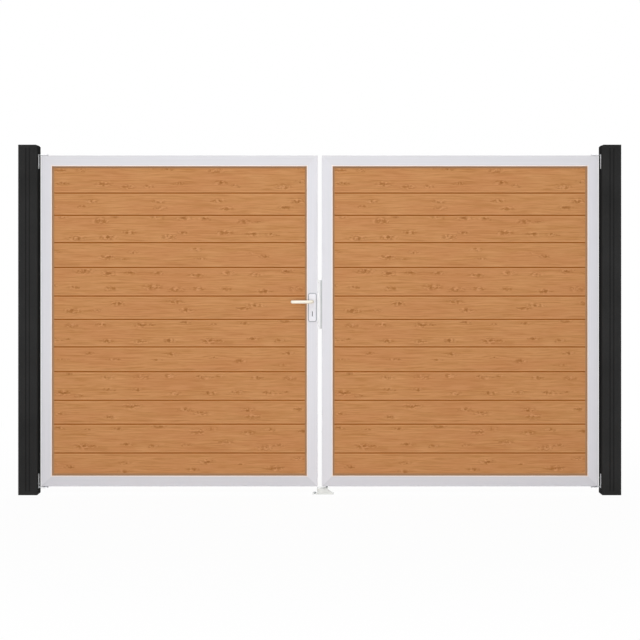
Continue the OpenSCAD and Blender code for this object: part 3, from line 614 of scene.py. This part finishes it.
openings = {
    "left": opening_of("left_hinge_stile", "lock_stile", "left_top_rail", "left_bottom_rail"),
    "right": opening_of("meeting_stile", "right_hinge_stile", "right_top_rail", "right_bottom_rail"),
}
BEAD_W, BEAD_RISE = 7 * MM, 1.6 * MM
GASKET_W, GASKET_T, GASKET_LAP, GASKET_WALL = 9 * MM, 3 * MM, 1.6 * MM, 0.6 * MM
for side, opening in openings.items():
    infill_face, bar_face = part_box(f"{side}_infill")[0].y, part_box(f"{side}_hinge_stile")[0].y
    bead, gasket = bmesh.new(), bmesh.new()
    for way in (1, -1):
        # It laps over the bars' inner edge, lines their side, and ends in a soft lip on the boards.
        ring_bar(gasket, opening, [
            (-GASKET_LAP, way * (bar_face + SUNK)), (-GASKET_LAP, way * (bar_face - 0.5 * MM)),
            (0.2 * MM, way * (bar_face - 0.3 * MM)), (GASKET_WALL, way * (bar_face + 0.6 * MM)),
            (GASKET_WALL, way * (infill_face - GASKET_T)),
            (GASKET_W * 0.35, way * (infill_face - GASKET_T * 0.85)),
            (GASKET_W * 0.8, way * (infill_face - GASKET_T * 0.4)), (GASKET_W, way * infill_face),
            (-SUNK, way * infill_face), (-SUNK, way * (bar_face + SUNK))])
        # A crowned bead beside it, let into the bars' face.
        ring_bar(bead, opening, [
            (-BEAD_W, way * (bar_face + SUNK)), (-BEAD_W, way * (bar_face - BEAD_RISE * 0.3)),
            (-BEAD_W * 0.75, way * (bar_face - BEAD_RISE * 0.8)),
            (-BEAD_W * 0.5, way * (bar_face - BEAD_RISE)),
            (-GASKET_LAP, way * (bar_face - BEAD_RISE * 0.7)), (-GASKET_LAP, way * (bar_face + SUNK))])
    piece(f"{side}_gasket", gasket, [rubber], f"{side}_leaf", smooth=50)
    piece(f"{side}_glazing_bead", bead, [bead_plastic], f"{side}_leaf", smooth=50)


# ---------------------------------------------------------------- lock seals and lever pack

def rounded(x0, x1, z0, z1, r):
    """Points round a rectangle with round corners, as (x, z)."""
    out = []
    corners = ((x1 - r, z1 - r), (x0 + r, z1 - r), (x0 + r, z0 + r), (x1 - r, z0 + r))
    steps = 8  # in each corner
    for k, (x, z) in enumerate(corners):
        for i in range(steps + 1):
            angle = math.radians(90 * k + 90 * i / steps)
            out.append((x + r * math.cos(angle), z + r * math.sin(angle)))
    return out


# A crowned rubber seal stands round each plate of the lock, let into the stile and under the plate's edge.
# Its mid-grey is partly painted shade, standing in for the shadow round each plate.
SEAL_W, SEAL_T, SEAL_SUNK, PLATE_R = 4.6 * MM, 1.6 * MM, 0.3 * MM, 9 * MM
bm = bmesh.new()
for node, way in (("front_escutcheon", -1), ("rear_escutcheon", 1)):
    low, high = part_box(node)
    face = high.y if way < 0 else low.y
    loops = []
    for out, rise in ((-SEAL_SUNK, -SEAL_SUNK), (-SEAL_SUNK, SEAL_T), (SEAL_W * 0.5, SEAL_T),
                      (SEAL_W * 0.85, SEAL_T * 0.7), (SEAL_W, SEAL_T * 0.2), (SEAL_W, -SEAL_SUNK)):
        corners = rounded(low.x - out, high.x + out, low.z - out, high.z + out, PLATE_R + out)
        loops.append([bm.verts.new((x, face + way * rise, z)) for x, z in corners])
    skin(bm, loops + loops[:1])
piece("lock_plate_seals", bm, [seal_rubber], "left_leaf", smooth=50)

# The lever pack closes the middle of the keyhole, and a pin for the key stands on each side of it.
handle = next(j for j in frame["record"]["behaviour"]["joints"] if j["name"] == "handle_turn")
lock_x, _, lock_z = handle["pos_m"]
KEYHOLE_DROP = 67 * MM  # from the lever's turning point down to the keyhole's middle
PACK_W, PACK_T, PACK_H, PACK_BEVEL = 9 * MM, 3 * MM, 32 * MM, 0.5 * MM
PIN_R, PIN_L, PIN_UP, PIN_SUNK = 1.3 * MM, 5.6 * MM, 11 * MM, 0.3 * MM
PIN_TIP_R, PIN_TIP_L = 0.9 * MM, 0.6 * MM
keyhole_z = lock_z - KEYHOLE_DROP
bm = bmesh.new()
bmesh.ops.create_cube(bm, size=1.0, matrix=Matrix.Translation((lock_x, 0, keyhole_z))
                      @ Matrix.Diagonal((PACK_W, PACK_T, PACK_H, 1)))
bmesh.ops.bevel(bm, geom=bm.edges[:], offset=PACK_BEVEL, segments=2, affect="EDGES")
for way in (-1, 1):
    turned(bm, (lock_x, way * (PACK_T / 2 - PIN_SUNK), keyhole_z + PIN_UP), (0, way, 0),
           [(PIN_R, 0, 0), (PIN_R, PIN_L - PIN_TIP_L, 0), (PIN_TIP_R, PIN_L, 0)], sides=12)
piece("lock_lever_pack", bm, [black_steel], "left_leaf", smooth=40)


# ---------------------------------------------------------------- screws and anchors

# Two screws hold each hinge bracket's leg to its post.
HINGE_SCREW_D, HINGE_SCREW_H = 6 * MM, 0.8 * MM
HINGE_SCREW_UP = (0.3, 0.75)  # shares of the bracket's height
LEG_MIDDLE = 4 * MM  # from the leg's front to its middle line
bm = bmesh.new()
for node in ("left_upper_hinge", "left_lower_hinge", "right_upper_hinge", "right_lower_hinge"):
    low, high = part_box(node)
    left = node.startswith("left")
    leg_face = low.x + LEG_W if left else high.x - LEG_W
    for up in HINGE_SCREW_UP:
        socket_screw(bm, (leg_face, low.y + LEG_MIDDLE, low.z + up * (high.z - low.z)),
                     (1 if left else -1, 0, 0), HINGE_SCREW_D, HINGE_SCREW_H)
piece("hinge_screws", bm, [stainless], "gate_root", smooth=40)

# Domed anchor heads on the ground stop's flange, and moulded caps in the recesses of its ramp.
FLANGE_T = 4 * MM
ANCHOR_IN, ANCHOR_Y = 13 * MM, 20 * MM  # from the stop's ends, and from its middle line
ANCHOR_D, ANCHOR_H, ANCHOR_DOME = 14 * MM, 4 * MM, 0.8
CAP_PROFILE = [(6.8 * MM, 0, 0), (6.8 * MM, 2.4 * MM, 0), (6.2 * MM, 3.2 * MM, 0), (4.5 * MM, 3.9 * MM, 0),
               (1.5 * MM, 4.2 * MM, 0)]
UP = (0, 0, 1)
low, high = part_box("ground_stop")
heads, caps = bmesh.new(), bmesh.new()
for y in (-ANCHOR_Y, ANCHOR_Y):
    socket_screw(heads, (low.x + ANCHOR_IN, y, FLANGE_T), UP, ANCHOR_D, ANCHOR_H, ANCHOR_DOME)
    turned(caps, (high.x - ANCHOR_IN, y, FLANGE_T), UP, CAP_PROFILE)
piece("stop_anchor_heads", heads, [anchor_steel], "gate_root", smooth=40)
piece("stop_anchor_caps", caps, [cap_nylon], "gate_root", smooth=50)

bm = bmesh.new()
end_screws(bm, "lock_case", (1, 0, 0), from_end=9 * MM, head_d=7 * MM, head_h=1.2 * MM)
end_screws(bm, "rear_escutcheon", (0, 1, 0), from_end=11 * MM, head_d=7 * MM, head_h=1.2 * MM)
piece("lock_screws", bm, [stainless], "left_leaf", smooth=40)

bm = bmesh.new()
end_screws(bm, "lock_keeper", (-1, 0, 0), from_end=16 * MM, head_d=7 * MM, head_h=1 * MM)
end_screws(bm, "drop_bolt_plate", (-1, 0, 0), from_end=12 * MM, head_d=6 * MM, head_h=1 * MM)
piece("keeper_screws", bm, [stainless], "right_leaf", smooth=40)

# A soft crowned buffer strip lies in each rebate of the keeper, between it and the stile. Its grey is partly
# painted shade, standing in for the shadow beside the stile.
STRIP_W, STRIP_D, STRIP_INSET = 7.6 * MM, 3.4 * MM, 3 * MM
STRIP_EDGE, STRIP_CROWN = 0.4 * MM, 1.2 * MM  # how far it stands out of the rebate
low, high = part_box("lock_keeper")
bm = bmesh.new()
for way in (-1, 1):
    face = way * (high.y - low.y) / 2
    outline = [(high.x - STRIP_W, face - way * STRIP_D), (high.x - STRIP_W, face + way * STRIP_EDGE),
               (high.x - STRIP_W * 0.75, face + way * STRIP_CROWN),
               (high.x - STRIP_W * 0.3, face + way * STRIP_CROWN),
               (high.x, face + way * STRIP_EDGE), (high.x, face - way * STRIP_D)]
    solid(bm, [[bm.verts.new((x, y, z)) for x, y in outline]
               for z in (low.z + STRIP_INSET, high.z - STRIP_INSET)])
piece("keeper_buffers", bm, [buffer_rubber], "right_leaf", smooth=50)


# ---------------------------------------------------------------- floor, light and camera

def plain_view(tree):
    """1 for what the camera, gloss and glass see, and 0 for the light that falls on things."""
    ray = add(tree, "LightPath").outputs
    seen = add(tree, "Math", (ray["Is Camera Ray"], ray["Is Glossy Ray"]), operation="MAXIMUM")
    return add(tree, "Math", (seen, ray["Is Transmission Ray"]), operation="MAXIMUM")


FLOOR_REACH = 40.0
SHADOW_SHARE, SHADOW_NEAR, SHADOW_FAR = 0.04, 1.6, 4.0
WALL_LIGHT = 0.26  # how strongly the studio's walls light the gate
bm = bmesh.new()
for x, y in ((-1, -1), (1, -1), (1, 1), (-1, 1)):
    bm.verts.new((gate_middle.x + x * FLOOR_REACH, y * FLOOR_REACH, 0))
bm.faces.new(bm.verts)
mesh = bpy.data.meshes.new("floor")
bm.to_mesh(mesh)
bm.free()
floor = bpy.data.objects.new("floor", mesh)
bpy.context.scene.collection.objects.link(floor)

# A pale painted floor. It is plain white wherever it is seen, but a small share of what is seen is paint,
# which takes the gate's shadow: SHADOW_SHARE up to SHADOW_NEAR from the gate's middle, then less and less,
# and none past SHADOW_FAR.
white = bpy.data.materials.new("studio_floor_white")
white.use_nodes = True
tree = white.node_tree
tree.nodes.remove(tree.nodes["Principled BSDF"])
place = add(tree, "TexCoord").outputs["Object"]
place = add(tree, "Mapping", {"Vector": place, "Location": (-gate_middle.x, 0, 0)})
away = add(tree, "VectorMath", (place,), operation="LENGTH")
clear = add(tree, "MapRange", {"Value": away, "From Min": SHADOW_NEAR, "From Max": SHADOW_FAR,
                               "To Min": 1 - SHADOW_SHARE, "To Max": 1.0}, interpolation_type="SMOOTHSTEP")
share = add(tree, "Math", (plain_view(tree), clear), operation="MULTIPLY")
paint = add(tree, "BsdfDiffuse", {"Color": linear("FAFAFA")})
glow = add(tree, "Emission", {"Color": linear("FFFFFF"), "Strength": 1.0})
feed(tree.nodes["Material Output"], {"Surface": add(tree, "MixShader", (share, paint, glow))})
floor.data.materials.append(white)

# The studio's walls: plain white to look at, and a dim light on the gate.
world = bpy.data.worlds.new("studio")
world.use_nodes = True
bpy.context.scene.world = world
tree = world.node_tree
level = add(tree, "MapRange", {"Value": plain_view(tree), "To Min": WALL_LIGHT, "To Max": 1.0})
feed(tree.nodes["Background"], {"Color": linear("FFFFFF"), "Strength": level})


def lamp(name, place, target, width, height, watts):
    """A soft rectangular lamp at place that faces target."""
    light = bpy.data.lights.new(name, "AREA")
    light.shape, light.size, light.size_y, light.energy = "RECTANGLE", width, height, watts
    made = bpy.data.objects.new(name, light)
    made.location = place
    made.rotation_euler = (Vector(target) - Vector(place)).to_track_quat("-Z", "Y").to_euler()
    made.visible_camera = False
    bpy.context.scene.collection.objects.link(made)


lamp("key", (gate_middle.x - 0.6, -8.0, 6.5), gate_middle, width=8.0, height=6.0, watts=325)
# A long low lamp, which reaches the bottom rails and the ground stop.
lamp("fill", (gate_middle.x - 0.4, -6.0, 0.3), (gate_middle.x, 0, 0.3), width=6.4, height=0.5, watts=92)
lamp("top", (gate_middle.x, -3.0, 6.2), gate_middle, width=5.0, height=2.0, watts=52)
lamp("back", (gate_middle.x, 7.0, 5.0), gate_middle, width=6.0, height=4.0, watts=400)

# The camera stands in front of the gate's middle and looks level.
CAMERA_AWAY, CAMERA_UP, LENS, SENSOR = 8.02, 1.329, 82.71, 36.0  # metres, then millimetres
camera = bpy.data.cameras.new("camera")
camera.lens, camera.sensor_width = LENS, SENSOR
camera.shift_x, camera.shift_y = 0.00045, -70 / 640  # shares of the view's width
eye = bpy.data.objects.new("camera", camera)
eye.location = (gate_middle.x, -CAMERA_AWAY, CAMERA_UP)
eye.rotation_euler = (math.radians(90), 0, 0)
bpy.context.scene.collection.objects.link(eye)
bpy.context.scene.camera = eye
bpy.context.scene.view_settings.view_transform = "Standard"
